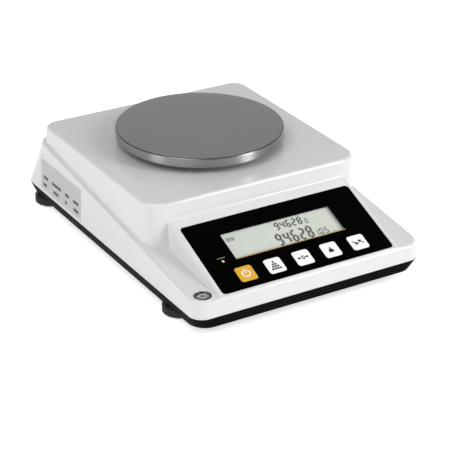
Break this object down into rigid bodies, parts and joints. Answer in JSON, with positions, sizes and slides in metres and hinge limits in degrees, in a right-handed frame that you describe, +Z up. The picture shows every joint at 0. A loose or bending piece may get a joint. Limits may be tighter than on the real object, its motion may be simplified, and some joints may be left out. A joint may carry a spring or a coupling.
{
  "type": "precision balance",
  "caption": "Bench precision balance: round steel pan on a raised white housing, sloping black key panel with display, black tray and knurled levelling feet.",
  "frame": {"origin": "middle of the footprint, on the bench surface", "axes": "+X to the right, +Y to the back, +Z up; the key panel is at the front, towards -Y"},
  "size_m": [0.19, 0.271, 0.0852],
  "materials": {
    "housing_white": "glossy white ABS moulding",
    "tray_black": "matte black ABS",
    "screw_steel": "zinc-plated steel",
    "brass": "turned brass",
    "port_plate_black": "black painted sheet",
    "socket_metal": "tin-plated steel",
    "socket_black": "black moulded nylon",
    "jack_pin": "nickel-plated pin",
    "overlay_black": "black back-printed polyester sheet",
    "window_clear": "clear window",
    "lcd_glass": "grey-green reflective display",
    "holder_plastic": "black moulded frame",
    "board_green": "green circuit board",
    "lamp_clear": "diffused lamp",
    "level_metal": "dark burnished metal",
    "level_glass": "clear glass",
    "level_fluid": "tinted spirit",
    "cell_aluminium": "machined aluminium",
    "support_cast": "die-cast support",
    "buffer_rubber": "soft black rubber",
    "pan_steel": "satin stainless steel with a polished rim",
    "ribbon_grey": "grey ribbon cable",
    "cable_grey": "grey cable jacket",
    "plate_silver": "silver foil plate",
    "key_orange": "orange printed key",
    "key_white": "white printed key",
    "plunger_plastic": "white moulded plunger",
    "wheel_black": "black moulded knurled wheel",
    "stud_steel": "threaded steel stud",
    "pad_rubber": "black rubber pad"
  },
  "bodies": {
    "base": {"upper_housing": "housing_white", "base_tray": "tray_black", "housing_screws": "screw_steel", "load_cell_bolts": "screw_steel", "overload_stops": "screw_steel", "display_board_screws": "screw_steel", "main_board_screws": "screw_steel", "foot_inserts": "brass", "port_plate": "port_plate_black", "serial_socket_shell": "socket_metal", "serial_jackscrews": "socket_metal", "serial_socket_insulator": "socket_black", "power_jack": "socket_black", "switch_bodies": "socket_black", "power_jack_pin": "jack_pin", "control_overlay": "overlay_black", "display_window": "window_clear", "lcd_panel": "lcd_glass", "lcd_holder": "holder_plastic", "display_board": "board_green", "main_board": "board_green", "status_lamp": "lamp_clear", "level_cup": "level_metal", "level_glass": "level_glass", "level_fluid": "level_fluid", "load_cell": "cell_aluminium", "load_cell_spacer": "cell_aluminium", "ribbon_cable": "ribbon_grey", "load_cell_cable": "cable_grey", "side_plate": "plate_silver"},
    "carrier": {"carrier_bracket": "cell_aluminium", "carrier_bolts": "screw_steel", "hub_post": "cell_aluminium", "pan_support": "support_cast", "support_screw": "screw_steel", "pan_buffers": "buffer_rubber"},
    "pan": {"weighing_pan": "pan_steel"},
    "power_button": {"power_key": "key_orange", "power_key_plunger": "plunger_plastic"},
    "counting_button": {"counting_key": "key_white", "counting_key_plunger": "plunger_plastic"},
    "zero_button": {"zero_key": "key_white", "zero_key_plunger": "plunger_plastic"},
    "calibration_button": {"calibration_key": "key_white", "calibration_key_plunger": "plunger_plastic"},
    "unit_button": {"unit_key": "key_white", "unit_key_plunger": "plunger_plastic"},
    "foot_pad_front_left": {"foot_pad_front_left": "pad_rubber"},
    "foot_wheel_front_left": {"foot_wheel_front_left": "wheel_black", "foot_stud_front_left": "stud_steel"},
    "foot_pad_front_right": {"foot_pad_front_right": "pad_rubber"},
    "foot_wheel_front_right": {"foot_wheel_front_right": "wheel_black", "foot_stud_front_right": "stud_steel"},
    "foot_pad_rear_left": {"foot_pad_rear_left": "pad_rubber"},
    "foot_wheel_rear_left": {"foot_wheel_rear_left": "wheel_black", "foot_stud_rear_left": "stud_steel"},
    "foot_pad_rear_right": {"foot_pad_rear_right": "pad_rubber"},
    "foot_wheel_rear_right": {"foot_wheel_rear_right": "wheel_black", "foot_stud_rear_right": "stud_steel"}
  },
  "joints": [
    {"name": "carrier_deflection", "type": "slide", "parent": "base", "child": "carrier", "axis": [0, 0, -1], "range_m": [0, 0.0005], "stiffness_N_per_m": 20000, "springref_m": -0.0004, "deforming": ["load_cell"]},
    {"name": "pan_lift_off", "type": "slide", "parent": "carrier", "child": "pan", "axis": [0, 0, 1], "range_m": [0, 0.05]},
    {"name": "power_key_press", "type": "slide", "parent": "base", "child": "power_button", "axis": [0, 0.3655, -0.9308], "range_m": [0, 0.0004], "stiffness_N_per_m": 2500, "springref_m": -0.0002},
    {"name": "counting_key_press", "type": "slide", "parent": "base", "child": "counting_button", "axis": [0, 0.3655, -0.9308], "range_m": [0, 0.0004], "stiffness_N_per_m": 2500, "springref_m": -0.0002},
    {"name": "zero_key_press", "type": "slide", "parent": "base", "child": "zero_button", "axis": [0, 0.3655, -0.9308], "range_m": [0, 0.0004], "stiffness_N_per_m": 2500, "springref_m": -0.0002},
    {"name": "calibration_key_press", "type": "slide", "parent": "base", "child": "calibration_button", "axis": [0, 0.3655, -0.9308], "range_m": [0, 0.0004], "stiffness_N_per_m": 2500, "springref_m": -0.0002},
    {"name": "unit_key_press", "type": "slide", "parent": "base", "child": "unit_button", "axis": [0, 0.3655, -0.9308], "range_m": [0, 0.0004], "stiffness_N_per_m": 2500, "springref_m": -0.0002},
    {"name": "foot_lift_front_left", "type": "slide", "parent": "base", "child": "foot_pad_front_left", "axis": [0, 0, -1], "range_m": [0, 0.006]},
    {"name": "foot_turn_front_left", "type": "hinge", "parent": "foot_pad_front_left", "child": "foot_wheel_front_left", "pos_m": [-0.0815, -0.0885, 0.0084], "axis": [0, 0, -1], "range_deg": [0, 2160]},
    {"name": "foot_lift_front_right", "type": "slide", "parent": "base", "child": "foot_pad_front_right", "axis": [0, 0, -1], "range_m": [0, 0.006]},
    {"name": "foot_turn_front_right", "type": "hinge", "parent": "foot_pad_front_right", "child": "foot_wheel_front_right", "pos_m": [0.0815, -0.0885, 0.0084], "axis": [0, 0, -1], "range_deg": [0, 2160]},
    {"name": "foot_lift_rear_left", "type": "slide", "parent": "base", "child": "foot_pad_rear_left", "axis": [0, 0, -1], "range_m": [0, 0.006]},
    {"name": "foot_turn_rear_left", "type": "hinge", "parent": "foot_pad_rear_left", "child": "foot_wheel_rear_left", "pos_m": [-0.0815, 0.1195, 0.0084], "axis": [0, 0, -1], "range_deg": [0, 2160]},
    {"name": "foot_lift_rear_right", "type": "slide", "parent": "base", "child": "foot_pad_rear_right", "axis": [0, 0, -1], "range_m": [0, 0.006]},
    {"name": "foot_turn_rear_right", "type": "hinge", "parent": "foot_pad_rear_right", "child": "foot_wheel_rear_right", "pos_m": [0.0815, 0.1195, 0.0084], "axis": [0, 0, -1], "range_deg": [0, 2160]}
  ],
  "couplings": [
    {"joint": "foot_lift_front_left", "follows": "foot_turn_front_left", "m_per_rad": 0.00015915},
    {"joint": "foot_lift_front_right", "follows": "foot_turn_front_right", "m_per_rad": 0.00015915},
    {"joint": "foot_lift_rear_left", "follows": "foot_turn_rear_left", "m_per_rad": 0.00015915},
    {"joint": "foot_lift_rear_right", "follows": "foot_turn_rear_right", "m_per_rad": 0.00015915}
  ]
}
